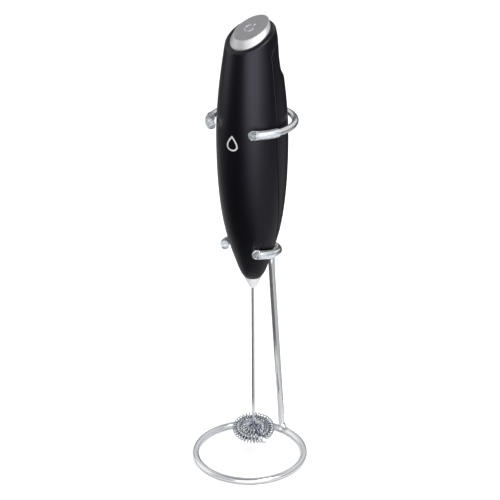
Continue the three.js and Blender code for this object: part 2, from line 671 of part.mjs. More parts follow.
// One wire: straight shaft, inner turn, step outwards, outer turn.
function whiskWire() {
  const { innerR, outerR } = WHISK;
  const shaft = [WHISK_WIRE_TOP, 70, 24, 18.4].map((z) => at(0, 0, z));
  const inner = arcPoints(innerR, 88, 416, 17);
  const outward = [[innerR + 0.9, 422], [(innerR + outerR) / 2, 427], [outerR - 0.7, 432]];
  const step = outward.map(([radius, angle]) => arcPoints(radius, angle, angle, 1)[0]);
  const outer = arcPoints(outerR, 438, 772, 20);
  const flat = [at(1.03, -0.05, 0.8), at(2.5, -0.13, 0.1), ...inner, ...step, ...outer];
  return wire([...shaft, ...tipped(flat)], WHISK_WIRE_R, 6);
}

function whiskCoil(ringR, { radius, from, to }) {
  const steps = Math.round((to - from) / 18);
  return wire(tipped(arcPoints(ringR, from, to, steps)), radius, 8, WHISK.hollow);
}

function rotor() {
  const group = new THREE.Group();
  const { radius, bottom, top } = MOTOR_SHAFT;
  group.position.y = AXIS_Y;
  group.add(piece("motor_shaft", rod(radius, bottom, top, 12), "steel"));
  group.add(piece("armature", armature(), "steel"));
  group.add(piece("commutator", commutator(), "copper"));
  group.add(piece("shaft_coupler", shaftCoupler(), "white"));
  group.add(piece("whisk_wire", whiskWire(), "steel"));
  group.add(piece("whisk_coil", whiskCoil(WHISK.outerR, OUTER_COIL), "steel"));
  group.add(piece("whisk_inner_coil", whiskCoil(WHISK.innerR, INNER_COIL), "steel"));
  return group;
}

// ---------------------------------------------------------------- assembly

function frother() {
  const group = new THREE.Group();
  const outerForm = handleForm(0);
  group.position.set(0, AXIS_Y, 0);
  group.rotation.z = radians(FROTHER_TURN);
  group.add(piece("front_housing", frontHousing(outerForm), "softBlack"));
  group.add(piece("battery_cover", batteryCover(outerForm), "softBlack"));
  group.add(piece("nose_collar", noseCollar(), "silver"));
  group.add(piece("nose_bush", noseBush(), "brass"));
  group.add(piece("button_spring", buttonSpring(), "steel"));
  group.add(...batteryBay(), ...motorShell(), button());
  return group;
}

const model = new THREE.Group();
model.add(stand(), frother(), rotor());

export default model;
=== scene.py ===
import json
import math

import bmesh
import bpy
import numpy as np
from mathutils import Matrix, Vector


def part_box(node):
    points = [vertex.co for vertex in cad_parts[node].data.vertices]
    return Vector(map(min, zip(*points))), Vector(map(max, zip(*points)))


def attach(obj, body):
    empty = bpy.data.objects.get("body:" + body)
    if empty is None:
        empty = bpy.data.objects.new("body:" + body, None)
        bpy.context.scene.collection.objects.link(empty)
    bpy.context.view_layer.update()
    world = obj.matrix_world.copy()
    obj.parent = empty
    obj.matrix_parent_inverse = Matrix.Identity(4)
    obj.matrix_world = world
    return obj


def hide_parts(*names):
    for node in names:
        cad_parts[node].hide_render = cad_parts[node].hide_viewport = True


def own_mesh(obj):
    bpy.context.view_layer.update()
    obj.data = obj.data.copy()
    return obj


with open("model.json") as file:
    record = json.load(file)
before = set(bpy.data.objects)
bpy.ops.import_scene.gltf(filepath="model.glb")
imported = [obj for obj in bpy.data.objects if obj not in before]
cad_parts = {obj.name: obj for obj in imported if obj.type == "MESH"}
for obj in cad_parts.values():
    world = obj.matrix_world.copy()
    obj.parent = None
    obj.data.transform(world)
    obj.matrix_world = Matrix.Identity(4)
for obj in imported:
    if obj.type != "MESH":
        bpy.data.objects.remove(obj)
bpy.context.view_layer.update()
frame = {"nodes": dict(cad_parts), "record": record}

# Everything below is in millimetres until a mesh is made. Angles round the frother are in degrees from its
# front, rising towards +X, and heights are above the table.
MM = 0.001

# ---------------------------------------------------------------- sizes

AXIS_Y = sum(corner.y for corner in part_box("nose_collar")) / 2 / MM
FROTHER_TURN = -10

HANDLE_PROFILE = [
    (103.9, 4.75), (105, 5.6), (108, 6.95), (114, 9.05), (121, 11.3), (130, 13.65), (142, 15.65), (156, 16.9),
    (172, 17.45), (186, 17.3), (198, 16.45), (210, 15.1), (220, 13.65), (229, 12.15), (239, 10.1),
]  # (height, radius)
RECESS = {
    "depth": 1.95, "foot": 208, "deep": 213.5, "fade": 216, "top": 230, "side_start": 100, "side_full": 160,
}
COVER_SEAM = [
    (16, 227.3), (11.5, 227.2), (6, 226.3), (2.7, 225), (0.4, 222.5), (-0.3, 219), (-0.45, 205), (-0.45, 190),
    (-0.3, 176), (1.4, 155), (2.9, 142), (4.5, 128), (7.6, 122.6), (11.5, 120.8), (16, 120.6),
]  # (distance behind the axis, height)
COVER_SPINE = {"above_bottom": 17, "below_top": 15}  # where the cover's rows meet at the middle of the back
COVER_ROWS = {"outer": 26, "inner": 14}
SEAM_GROOVE = 0.28
SEAM_FILLET = 0.35
SHELL = 1.4  # thickness of the two handle shells at their seam
INSIDE = 1.5  # how far the housing's inside lies from its outside
# The housing's rows run from the seam to its rim, its front line or its nose
HOUSING_ENDS = {
    "rim_above": 222.5, "front_above": 127, "corner_steps": 8, "outer_front": 114, "inner_front": 120,
}
HOUSING_ROWS = {"outer": 44, "inner": 16}
CAVITY = {"bottom": 114.4, "top": 220.5}
NOSE = {"bottom": 103.3, "flat_r": 4.1, "bore_r": 2.6, "bush_r": 3.0, "bush_z": 110}

RIM = {"slope": 28.3, "centre_y": -1.13, "height": 230.1}
LIP_ROUND = 1.39
RIM_DROOP = {"depth": 1.2, "side_start": 95, "side_full": 150}
LEDGE_DROP = 6.5  # from the rim's plane down to the ledge at the foot of the button's well
WELL = {"half_width": 9.75, "half_length": 10.1, "edge_round": 0.3}

CAP_BASE = {"half_width": 9.45, "half_length": 9.8, "slope": 28.3, "centre_y": -1.13, "height": 230.1}
CAP_FACE = {"half_width": 7.65, "half_length": 9.2, "slope": 24.5, "centre_y": -0.45, "height": 232.9}
CAP_BOTTOM = 218.6
CAP_POST_R = 2.4
CAP_POST_BOTTOM = 223.5
CAP_WALL = 1.2
# The spring keeps these gaps inside its node's box. Its end turns rise by end_rise wire radii.
RETURN_SPRING = {"wire_r": 0.28, "turns": 7, "side_gap": 0.04, "end_gap": 0.03, "end_rise": 2.3}

WIRE_R = 1.75
WIRE_TRIM = 0.075  # keeps the round wire inside the frame's many-sided one
RING_LIFT = 0.01  # keeps the base ring off the table
RING_R = 28.25
FOOT_BEND_R = 5
FOOT_BEND_TURN = 10
UPRIGHT_ROUTE = [
    (24.2, 52), (19.85, 97), (19.45, 108), (19.45, 119), (20.4, 131), (21.7, 143), (22.9, 156), (23.7, 170),
    (23.96, 184.1),
]  # (y, height)
UPPER_CLIP = {"radius": 20.6, "height": 186.4, "behind_axis": 0.16, "tilt": 0, "tip": 36.4, "sleeve": 36}
LOWER_CLIP = {"radius": 13.5, "height": 119.5, "behind_axis": -0.8, "tilt": 10.4, "tip": 45.5, "sleeve": 41}
SLEEVE_R = 2.2
SLEEVE_BORE = 1.8
SLEEVE_MOUTH_ROUND = 0.12
TIP_INSET = 6  # degrees from the sleeve's tip to the wire's end inside it
BORE_ROOM = 1.5  # degrees that the bore goes on past the wire's end

WHISK_WIRE_R = 0.8
WHISK_TRIM = 0.03  # keeps the shaft inside the frame's many-sided one
WHISK_WIRE_TOP = 118
SHAFT_BOTTOM = 19  # the wire has the shaft's bright steel above this height. Below it, in the whisk, the same steel is painted much darker as shade among the coils
WHISK = {"height": 14.7, "tilt": 11, "azimuth": 36, "outer_r": 8.8, "inner_r": 3.9}
COIL_WIRE_R = 0.285
COILS = {
    "whisk_outer_spring": {
        "ring": "outer_r", "from": 75, "to": 430, "pitch": 1.55, "radius": 1.97, "tall": 1, "flare": 1.0,
    },
    "whisk_inner_spring": {
        "ring": "inner_r", "from": 60, "to": 412, "pitch": 1.15, "radius": 2.25, "tall": 1.12, "flare": 0,
    },
}
FLARED_LOOPS = 1.7  # how many of a coil's last loops open out

# ---------------------------------------------------------------- meshes


def mesh_object(name, points, faces, material, sharp=40):
    """A smooth mesh object from points in millimetres, doubles merged and its normals turned outwards."""
    mesh = bpy.data.meshes.new(name)
    mesh.from_pydata([tuple(p) for p in np.asarray(points) * MM], [], faces)
    made = bmesh.new()
    made.from_mesh(mesh)
    bmesh.ops.remove_doubles(made, verts=made.verts, dist=2e-7)
    bmesh.ops.dissolve_degenerate(made, edges=made.edges, dist=1e-8)
    bmesh.ops.recalc_face_normals(made, faces=made.faces)
    made.to_mesh(mesh)
    made.free()
    mesh.polygons.foreach_set("use_smooth", [True] * len(mesh.polygons))
    mesh.set_sharp_from_angle(angle=math.radians(sharp))
    piece = bpy.data.objects.new(name, mesh)
    piece.data.materials.append(material)
    bpy.context.scene.collection.objects.link(piece)
    return piece


class Patches:
    """Gathers point grids into one list of points and faces."""

    def __init__(self):
        self.points = []
        self.faces = []

    def grid(self, rows, closed=False):
        """Rows of equally many points, joined by quads. A closed grid joins each row's end to its start."""
        rows = np.asarray(rows, float)
        count, across = rows.shape[:2]
        start = len(self.points)
        self.points.extend(rows.reshape(-1, 3))
        last = across if closed else across - 1
        for i in range(count - 1):
            for j in range(last):
                k = (j + 1) % across
                a, b = start + i * across, start + (i + 1) * across
                self.faces.append((a + j, a + k, b + k, b + j))

    def fan(self, ring, centre):
        """A closed ring joined to its centre."""
        start = len(self.points)
        self.points.extend(np.asarray(ring, float))
        self.points.append(np.asarray(centre, float))
        count = len(ring)
        for j in range(count):
            self.faces.append((start + j, start + (j + 1) % count, start + count))


def unit(vectors):
    return vectors / np.linalg.norm(vectors, axis=-1, keepdims=True)


def carried_frames(path):
    """Unit tangents of a path, with two side directions carried along it without twist."""
    tangents = unit(np.gradient(path, axis=0))
    helper = np.array([0.0, 0.0, 1.0]) if abs(tangents[0][2]) < 0.9 else np.array([1.0, 0.0, 0.0])
    side = unit(np.cross(tangents[0], helper))
    sides = [side]
    for tangent in tangents[1:]:
        side = unit(side - tangent * np.dot(side, tangent))
        sides.append(side)
    sides = np.array(sides)
    return tangents, sides, np.cross(tangents, sides)


def tube(patches, path, radius, sides=24, end_round=0.4):
    """A round bar along a path, from its first point to its last, with its two ends rounded off."""
    path = np.asarray(path, float)
    radii = np.broadcast_to(np.asarray(radius, float), (len(path),))
    tangents, side, up = carried_frames(path)
    turn = np.linspace(0, 2 * math.pi, sides, endpoint=False)

    def ring(i, along, r):
        out = np.cos(turn)[:, None] * side[i] + np.sin(turn)[:, None] * up[i]
        return path[i] + tangents[i] * along + out * r

    def end_rings(i, inward):
        degrees = [75, 50, 25, 0] if end_round >= radii[i] else [90, 65, 40, 20, 0]
        for a in np.radians(degrees):
            yield ring(i, inward * end_round * (1 - math.sin(a)), radii[i] - end_round * (1 - math.cos(a)))

    clear = [np.linalg.norm(path - path[i], axis=1) > end_round * 1.05 for i in (0, -1)]
    middle = [ring(i, 0, radii[i]) for i in np.nonzero(clear[0] & clear[1])[0]]
    rings = [*end_rings(0, 1), *middle, *list(end_rings(-1, -1))[::-1]]
    patches.grid(rings, closed=True)
    patches.fan(rings[0], path[0])
    patches.fan(rings[-1], path[-1])


def revolved(patches, outline, segments, place):
    """A ring-shaped body from its outline of (radius, height), which closes on itself."""
    turn = np.linspace(0, 2 * math.pi, segments, endpoint=False)
    rows = [np.stack([r * np.sin(turn), -r * np.cos(turn), np.full_like(turn, z)], 1) for r, z in outline]
    patches.grid([place(row) for row in [*rows, rows[0]]], closed=True)


def smooth_path(points, spacing):
    """Points about a spacing apart along a smooth curve through the given points."""
    points = np.asarray(points, float)
    ends = [2 * points[0] - points[1], 2 * points[-1] - points[-2]]
    knots = np.vstack([ends[0], points, ends[1]])
    made = []
    for a, b, c, d in zip(knots, knots[1:], knots[2:], knots[3:]):
        steps = max(2, int(np.linalg.norm(c - b) / spacing))
        t = np.arange(steps)[:, None] / steps
        curve = 2 * b + (c - a) * t + (2 * a - 5 * b + 4 * c - d) * t**2 + (3 * b - a - 3 * c + d) * t**3
        made.append(0.5 * curve)
    return np.vstack([*made, points[-1:]])


def arc(radius, start, end, spacing=0.6):
    """Points on a level circle, from one angle in degrees from the front to another."""
    steps = max(2, int(abs(end - start) * math.pi / 180 * radius / spacing))
    angle = np.radians(np.linspace(start, end, steps + 1))
    return np.stack([radius * np.sin(angle), -radius * np.cos(angle), np.zeros_like(angle)], 1)


# ---------------------------------------------------------------- form of the handle


def smooth_value(knots, x):
    """Smooth value at x through (x, value) knots."""
    xs, ys = np.array(knots, float).T
    slopes = np.gradient(ys, xs)
    slopes[1:-1] = (ys[2:] - ys[:-2]) / (xs[2:] - xs[:-2])
    i = np.clip(np.searchsorted(xs, x, side="right") - 1, 0, len(xs) - 2)
    h = xs[i + 1] - xs[i]
    t = (x - xs[i]) / h
    ends = ys[i] * (1 + 2 * t) * (1 - t) ** 2 + ys[i + 1] * t * t * (3 - 2 * t)
    return ends + h * (slopes[i] * t * (1 - t) ** 2 - slopes[i + 1] * t * t * (1 - t))


def smooth_step(x, low, high):
    t = np.clip((x - low) / (high - low), 0, 1)
    return t * t * (3 - 2 * t)


def recess_depth(z, angle):
    """Depth of the thumb recess on the handle's back."""
    rise = smooth_step(z, RECESS["foot"], RECESS["deep"])
    fall = 1 - smooth_step(z, RECESS["fade"], RECESS["top"])
    across = smooth_step(np.abs(angle), RECESS["side_start"], RECESS["side_full"])
    return RECESS["depth"] * rise * fall * across


def handle_radius(z, angle):
    return smooth_value(HANDLE_PROFILE, z) - recess_depth(z, angle)


def in_place(points):
    """Moves points from the frother's own upright frame, its front facing -Y, to where it rests."""
    points = np.asarray(points, float)
    c, s = math.cos(math.radians(FROTHER_TURN)), math.sin(math.radians(FROTHER_TURN))
    x, y, z = points[..., 0], points[..., 1], points[..., 2]
    return np.stack([x * c - y * s, AXIS_Y + x * s + y * c, z], -1)


def around(radius, angle, z):
    """Points in the frother's frame at a radius, an angle in degrees from the front and a height."""
    turn = np.radians(angle)
    return in_place(np.stack([radius * np.sin(turn), -radius * np.cos(turn), z + 0 * turn], -1))


def on_handle(angle, z, inset=0.0):
    angle, z, inset = np.broadcast_arrays(angle, z, inset)
    return around(handle_radius(z, angle) - inset, angle, z)


def slope_height(plane, y):
    return plane["height"] + (y - plane["centre_y"]) * math.tan(math.radians(plane["slope"]))


def seam_outline(count):
    """The right half of the cover's outline as (angle, height), from the top of the back to its bottom."""
    curve = smooth_path([(y, z, 0) for y, z in COVER_SEAM], 0.3)
    y, z = curve[:, 0], curve[:, 1]
    angle = np.full_like(z, 180.0)
    for _ in range(4):
        angle = np.degrees(np.arccos(np.clip(-y / handle_radius(z, angle), -1, 1)))
    inside = np.nonzero(angle < 180)[0]
    angle, z = angle[inside[0] - 1:inside[-1] + 2], z[inside[0] - 1:inside[-1] + 2]
    run = np.hypot(np.diff(np.radians(angle)) * handle_radius(z[1:], 0), np.diff(z))
    length = np.concatenate([[0], np.cumsum(run)])
    wanted = np.linspace(0, length[-1], count)
    return np.interp(wanted, length, angle), np.interp(wanted, length, z)


def outward(angle, z):
    """Unit directions away from the cover along its outline, as (arc length, height)."""
    along = np.gradient(np.radians(angle) * handle_radius(z, 0))
    rise = np.gradient(z)
    size = np.hypot(along, rise)
    out_along, out_rise = rise / size, -along / size
    out_along[[0, -1]] = 0
    out_rise[0], out_rise[-1] = 1, -1
    return out_along, out_rise


def moved_outline(angle, z, distance):
    out_along, out_rise = outward(angle, z)
    moved = angle + np.degrees(out_along * distance / handle_radius(z, 0))
    return moved, z + out_rise * distance


def fillet_steps(radius, steps=4):
    """(distance from the edge, inset) pairs round a rounded edge, from its wall to its flat."""
    turn = np.linspace(0, math.pi / 2, steps + 1)
    return [(radius * (1 - math.cos(a)), radius * (1 - math.sin(a))) for a in turn]


def between(a, b, share):
    return a + (b - a) * share


def both_halves(patches, rows):
    """A grid on the handle from the right half's rows of (angle, height, inset), and its mirror image."""
    grid = np.array([np.stack(np.broadcast_arrays(*row), -1) for row in rows])
    for side in (1, -1):
        patches.grid(on_handle(grid[..., 0] * side, grid[..., 1], grid[..., 2]))


# ---------------------------------------------------------------- handle shells

OUTLINE_COUNT = 170


def battery_cover_mesh(material):
    angle, z = seam_outline(OUTLINE_COUNT)
    spine = np.clip(z, z[-1] + COVER_SPINE["above_bottom"], z[0] - COVER_SPINE["below_top"])
    rows = [(*moved_outline(angle, z, 0), SHELL - SHELL * k / 3) for k in range(3)]
    rows += [(*moved_outline(angle, z, -d), inset) for d, inset in fillet_steps(SEAM_FILLET)]
    edge_angle, edge_z = moved_outline(angle, z, -2 * SEAM_FILLET)
    for t in np.linspace(0, 1, COVER_ROWS["outer"]):
        rows.append((between(edge_angle, 180, t), between(edge_z, spine, t), 0))
    inner = [
        (between(angle, 180, t), between(z, spine, t), SHELL) for t in np.linspace(1, 0, COVER_ROWS["inner"])
    ]
    patches = Patches()
    both_halves(patches, [*inner, *rows])
    return mesh_object("battery_cover_shell", patches.points, patches.faces, material)


def rim_droop(angle):
    """How far the rim's soft crest lies below its plane round the back."""
    return RIM_DROOP["depth"] * smooth_step(np.abs(angle), RIM_DROOP["side_start"], RIM_DROOP["side_full"])


def crest_height(angle):
    """Height of the rim's crest at each angle."""
    height = np.full_like(angle, RIM["height"])
    for _ in range(12):
        y = -(handle_radius(height - LIP_ROUND, angle) - LIP_ROUND) * np.cos(np.radians(angle))
        height = slope_height(RIM, y) - rim_droop(angle)
    return height


def oval_radius(oval, angle):
    """Distance from the axis to an oval round the button's centre."""
    turn = np.radians(angle)
    a, b, c = oval["half_width"], oval["half_length"], RIM["centre_y"]
    s, k = np.sin(turn), -np.cos(turn)
    p = (s / a) ** 2 + (k / b) ** 2
    q = -2 * k * c / b**2
    r = (c / b) ** 2 - 1
    return (-q + np.sqrt(q * q - 4 * p * r)) / (2 * p)


def ledge_height(angle):
    """Height of the ledge inside the housing at the foot of the button's well."""
    return slope_height(RIM, -oval_radius(WELL, angle) * np.cos(np.radians(angle))) - LEDGE_DROP


def rim_rings(angle):
    """Rings of (radius, height) from the handle's outside over the lip and down the button's well."""
    crest = crest_height(angle)
    well = oval_radius(WELL, angle)
    rings = []
    for a in np.linspace(0, math.pi / 2, 9):
        z = crest - LIP_ROUND * (1 - math.sin(a))
        rings.append((handle_radius(z, angle) - LIP_ROUND * (1 - math.cos(a)), z))
    edge = WELL["edge_round"]
    edge_z = slope_height(RIM, -(well + edge) * np.cos(np.radians(angle))) - rim_droop(angle)
    for a in np.linspace(0, math.pi / 2, 5):
        rings.append((well + edge * (1 - math.sin(a)), edge_z - edge * (1 - math.cos(a))))
    ledge_z = ledge_height(angle)
    for share in (0.3, 0.65, 1):
        rings.append((well, (edge_z - edge) * (1 - share) + ledge_z * share))
    rings.append((handle_radius(ledge_z, angle) - INSIDE, ledge_z))
    return rings


def nose_rings(angle):
    """Rings of (radius, height) from the handle's tip round its foot and up the nose's bore."""
    foot, flat = NOSE["bottom"], NOSE["flat_r"]
    first_z, first_r = HANDLE_PROFILE[0]
    inside = smooth_value(HANDLE_PROFILE, CAVITY["bottom"]) - INSIDE
    outline = [
        (first_r, first_z), (first_r - 0.13, first_z - 0.3), (flat + 0.3, foot + 0.1), (flat, foot),
        (NOSE["bore_r"], foot), (NOSE["bore_r"], NOSE["bush_z"]), (NOSE["bush_r"], NOSE["bush_z"]),
        (NOSE["bush_r"], CAVITY["bottom"]), (inside, CAVITY["bottom"]),
    ]
    return [(r + 0 * angle, z + 0 * angle) for r, z in outline]


def frame_line(rim_angle, rim_z, front_z, nose_z, shares):
    """Where each line from the seam ends: on the rim, the front line or the nose, as (angle, height)."""
    rim, side, front = shares
    nose_angle = np.linspace(0, 180, OUTLINE_COUNT - front + 1)
    side_z = np.linspace(rim_z[-1], front_z, side - rim + 1)[1:]
    low_z = np.linspace(front_z, nose_z, front - side + 1)[1:]
    angle = [rim_angle, 0 * side_z, 0 * low_z[:-1], nose_angle]
    height = [rim_z, side_z, low_z[:-1], np.full_like(nose_angle, nose_z)]
    return np.concatenate(angle), np.concatenate(height)


def housing_rows(seam, outer_ends, inner_ends):
    """Rows of (angle, height, inset) from the housing's inside over its edge at the seam to its outside."""
    edge = moved_outline(*seam, SEAM_GROOVE)
    inner = [
        (between(edge[0], inner_ends[0], t), between(edge[1], inner_ends[1], t), INSIDE)
        for t in np.linspace(1, 0, HOUSING_ROWS["inner"])
    ]
    rim = [(*moved_outline(*seam, SEAM_GROOVE + d), inset) for d, inset in fillet_steps(SEAM_FILLET)]
    flat = moved_outline(*seam, SEAM_GROOVE + 2 * SEAM_FILLET)
    outer = [
        (between(flat[0], outer_ends[0], t), between(flat[1], outer_ends[1], t), 0)
        for t in np.linspace(0, 1, HOUSING_ROWS["outer"])
    ]
    return [*inner, (*edge, SHELL), (*edge, SHELL / 2), *rim, *outer]


def front_housing_mesh(material):
    seam = seam_outline(OUTLINE_COUNT)
    rim_count = int(np.argmax(seam[1] < HOUSING_ENDS["rim_above"])) + 1
    low_start = int(np.argmax(seam[1] < HOUSING_ENDS["front_above"]))
    nose_start = low_start + HOUSING_ENDS["corner_steps"]
    shares = (rim_count, low_start, nose_start)
    rim_angle = np.linspace(180, 0, rim_count)
    nose_angle = np.linspace(0, 180, OUTLINE_COUNT - nose_start + 1)
    outer_z, nose_z = crest_height(rim_angle) - LIP_ROUND, HANDLE_PROFILE[0][0]
    outer_ends = frame_line(rim_angle, outer_z, HOUSING_ENDS["outer_front"], nose_z, shares)
    inner_z, floor_z = ledge_height(rim_angle), CAVITY["bottom"]
    inner_ends = frame_line(rim_angle, inner_z, HOUSING_ENDS["inner_front"], floor_z, shares)

    patches = Patches()
    both_halves(patches, housing_rows(seam, outer_ends, inner_ends))
    for ring_angle in (rim_angle, -rim_angle):
        patches.grid([around(r, ring_angle, h) for r, h in rim_rings(ring_angle)])
    for ring_angle in (nose_angle, -nose_angle):
        patches.grid([around(r, ring_angle, h) for r, h in nose_rings(ring_angle)])
    return mesh_object("front_housing_shell", patches.points, patches.faces, material)


# ---------------------------------------------------------------- trim on the handle

MARK = {"angle": 12.6, "height": 180.2, "half_width": 2.9, "half_height": 3.5, "stroke": 0.8}
DROP_POINT = 1.3  # how slim the drop's upper part is
DROP_WIDEN = 1.28  # brings the drop back to its full width
ICON = {"x": -0.6, "y": -1.0, "radius": 2.25, "stroke": 0.2, "gap": 36, "bar": 1.5, "direction": (0.3, 0.954)}
COLLAR_OUTLINE = [
    (1.15, 97.2), (1.75, 97.2), (1.92, 97.3), (2.02, 97.5), (3.96, 102.05), (4.07, 102.35), (4.1, 102.6),
    (4.06, 102.9), (3.95, 103), (2.3, 103), (2.3, 109.3), (2.1, 109.6), (1.15, 109.6),
]
RISE = 0.03  # how far a printed line stands proud of what it is printed on


def drop_outline(offset, count=72):
    """A water drop's outline, point up, moved inwards by an offset."""
    t = np.linspace(0, 2 * math.pi, count, endpoint=False)
    x = MARK["half_width"] * np.sin(t) * np.sin(t / 2) ** DROP_POINT * DROP_WIDEN
    y = MARK["half_height"] * np.cos(t)
    line = np.stack([x, y], 1)
    along = unit(np.roll(line, -1, axis=0) - np.roll(line, 1, axis=0))
    return line + np.stack([-along[:, 1], along[:, 0]], 1) * offset


def handle_mark_mesh(material):
    def on_surface(offset, inset):
        line = drop_outline(offset)
        z = MARK["height"] + line[:, 1]
        angle = MARK["angle"] + np.degrees(line[:, 0] / handle_radius(z, MARK["angle"]))
        return on_handle(angle, z, inset)

    half = MARK["stroke"] / 2
    loop = [(-half, RISE), (-half, -RISE), (0, -RISE), (half, -RISE), (half, RISE), (0, RISE), (-half, RISE)]
    patches = Patches()
    patches.grid([on_surface(offset, inset) for offset, inset in loop], closed=True)
    return mesh_object("handle_mark", patches.points, patches.faces, material)


def nose_collar_mesh(material):
    patches = Patches()
    revolved(patches, COLLAR_OUTLINE, 64, in_place)
    return mesh_object("nose_collar_trim", patches.points, patches.faces, material, sharp=60)


# ---------------------------------------------------------------- button

CAP_SIDES = 96


def oval_ring(oval, inset, lowered=0.0, level=None):
    """A ring round an oval, on its sloping plane or at a level."""
    turn = np.linspace(0, 2 * math.pi, CAP_SIDES, endpoint=False)
    x = (oval["half_width"] - inset) * np.sin(turn)
    y = oval["centre_y"] - (oval["half_length"] - inset) * np.cos(turn)
    z = slope_height(oval, y) - lowered if level is None else np.full_like(y, level)
    return np.stack([x, y, z], 1)


def button_cap_mesh(material):
    base, top = oval_ring(CAP_BASE, 0), oval_ring(CAP_FACE, 0)
    under = oval_ring(CAP_BASE, CAP_WALL, 1.0)
    post = oval_ring({**CAP_BASE, "half_width": CAP_POST_R, "half_length": CAP_POST_R, "centre_y": 0}, 0)
    rings = [under, oval_ring(CAP_BASE, CAP_WALL, level=CAP_BOTTOM), oval_ring(CAP_BASE, 0, level=CAP_BOTTOM)]
    rings += [between(rings[2], base, t) for t in (0.5, 0.9, 0.97)]
    rings += [between(base, top, t) for t in (0.04, 0.2, 0.4, 0.6, 0.8, 0.93)]
    rings += [oval_ring(CAP_FACE, 0.03, 0.06), oval_ring(CAP_FACE, 0.1, 0.01), oval_ring(CAP_FACE, 0.2)]
    rings += [oval_ring(CAP_FACE, 0.34), oval_ring(CAP_FACE, 0.36, 0.1), oval_ring(CAP_FACE, 1.2, 0.1)]
    post[:, 2] = under[:, 2].mean()
    foot = post.copy()
    foot[:, 2] = CAP_POST_BOTTOM
    patches = Patches()
    patches.grid([in_place(ring) for ring in rings], closed=True)
    patches.fan(in_place(rings[-1]), in_place(rings[-1].mean(axis=0)))
    patches.grid([in_place(under), in_place(post), in_place(foot)], closed=True)
    patches.fan(in_place(foot), in_place(foot.mean(axis=0)))
    return mesh_object("button_cap_shell", patches.points, patches.faces, material)


def button_face_mesh(material):
    """The satin plate let into the top of the cap."""
    levels = [(0.6, 0.08), (0.36, 0.08), (0.36, 0.02), (0.42, -0.02), (0.55, -0.03)]
    rings = [oval_ring(CAP_FACE, inset, lowered) for inset, lowered in levels]
    centre = oval_ring(CAP_FACE, 0.55, -0.03).mean(axis=0)
    rings += [between(rings[-1], centre, t) for t in np.linspace(0.1, 0.95, 10)]
    patches = Patches()
    patches.grid([in_place(ring) for ring in rings], closed=True)
    patches.fan(in_place(rings[-1]), in_place(centre))
    patches.fan(in_place(rings[0]), in_place(rings[0].mean(axis=0)))
    return mesh_object("button_face_plate", patches.points, patches.faces, material)


def power_icon_mesh(material):
    """A broken ring and a bar, standing a little proud of the button's face."""
    def on_face(x, y):
        x, y = np.asarray(x) + ICON["x"], np.asarray(y) + ICON["y"]
        return in_place(np.stack([x, y, slope_height(CAP_FACE, y) + RISE], 1))

    heading = math.atan2(ICON["direction"][0], ICON["direction"][1])
    turn = heading + np.radians(np.linspace(ICON["gap"], 360 - ICON["gap"], 60))
    reach = ICON["radius"] + np.array([-0.5, 0.5]) * ICON["bar"] + 0.5
    bar = np.linspace(*reach, 12)
    broken_ring = on_face(ICON["radius"] * np.sin(turn), ICON["radius"] * np.cos(turn))
    patches = Patches()
    tube(patches, broken_ring, ICON["stroke"], 12, 0.15)
    tube(patches, on_face(bar * math.sin(heading), bar * math.cos(heading)), ICON["stroke"], 12, 0.15)
    return mesh_object("power_icon", patches.points, patches.faces, material)


# ---------------------------------------------------------------- stand


def clip_place(clip):
    """A function that moves points from a clip's own level plane to where the clip is."""
    tilt = math.radians(-clip["tilt"])
    c, s = math.cos(tilt), math.sin(tilt)
    base = np.array([0, AXIS_Y + clip["behind_axis"], clip["height"]])

    def place(points):
        x, y, z = np.asarray(points, float).T
        return np.stack([x, y * c - z * s, y * s + z * c], 1) + base

    return place


def stand_wire_mesh(material):
    ring = arc(RING_R, -178, 180 - FOOT_BEND_TURN) + [0, 0, WIRE_R - WIRE_TRIM + RING_LIFT]
    turn = math.radians(FOOT_BEND_TURN)
    along = np.array([-math.cos(turn), math.sin(turn), 0])
    bend = []
    for a in np.radians([20, 40, 60, 80]):
        bend.append(ring[-1] + along * FOOT_BEND_R * math.sin(a) + [0, 0, FOOT_BEND_R * (1 - math.cos(a))])
    upright = [np.array([0, y, z]) for y, z in UPRIGHT_ROUTE]
    lower = [between(bend[-1], upright[0], share) for share in (0.05, 0.15, 0.4, 0.7)]
    rise = smooth_path([ring[-1], *bend, *lower, *upright], 0.7)
    patches = Patches()
    tube(patches, np.vstack([ring[:-1], rise]), WIRE_R - WIRE_TRIM, 36, 0.5)
    return mesh_object("stand_wire", patches.points, patches.faces, material)


def clip_mesh(name, clip, material):
    end = clip["tip"] + TIP_INSET
    patches = Patches()
    tube(patches, clip_place(clip)(arc(clip["radius"], end, 360 - end)), WIRE_R - WIRE_TRIM, 36, 0.45)
    return mesh_object(name, patches.points, patches.faces, material)


